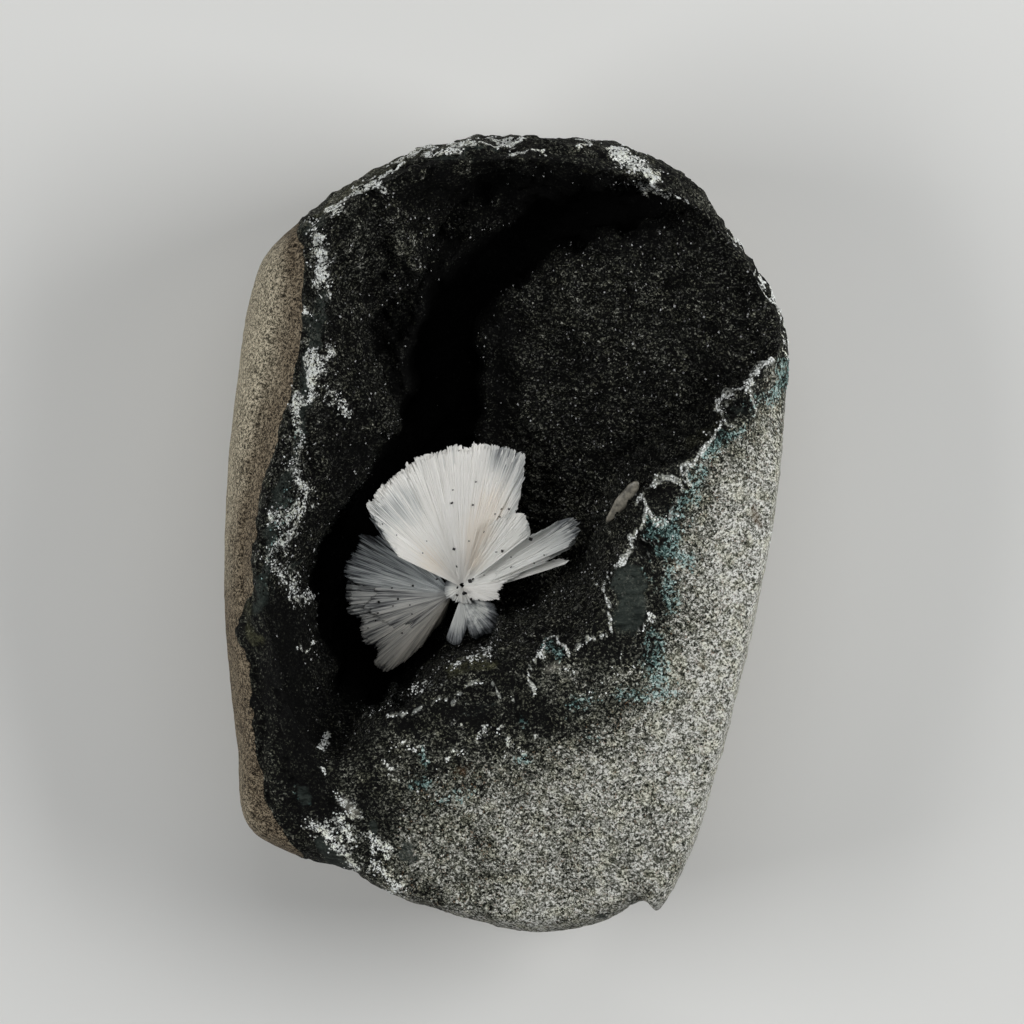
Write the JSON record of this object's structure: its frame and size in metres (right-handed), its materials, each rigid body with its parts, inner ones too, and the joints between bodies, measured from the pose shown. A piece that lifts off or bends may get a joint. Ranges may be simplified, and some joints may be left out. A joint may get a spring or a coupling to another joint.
{
  "type": "stilbite specimen in a basalt vug",
  "caption": "Broken basalt cobble lying on its back, with an open dark hollow in its front and white and grey stilbite blades that fan out inside it.",
  "frame": {"origin": "middle of the outline, on the flat patch of the back that the specimen rests on", "axes": "+Z out of the specimen's front, which holds the hollow, +Y towards its top end, +X towards the pale side of the front"},
  "size_m": [0.0703, 0.0991, 0.0396],
  "materials": {
    "basalt": "grained pale front face, brown worn side",
    "dark_druse": "rough, with small glints",
    "white_stilbite": "pearly, finely ribbed",
    "grey_stilbite": "translucent, finely ribbed"
  },
  "bodies": {
    "root": {"basalt_matrix": "basalt", "vug_lining": "dark_druse", "stilbite_white_sheaf": "white_stilbite", "stilbite_grey_sheaf": "grey_stilbite"}
  },
  "joints": []
}
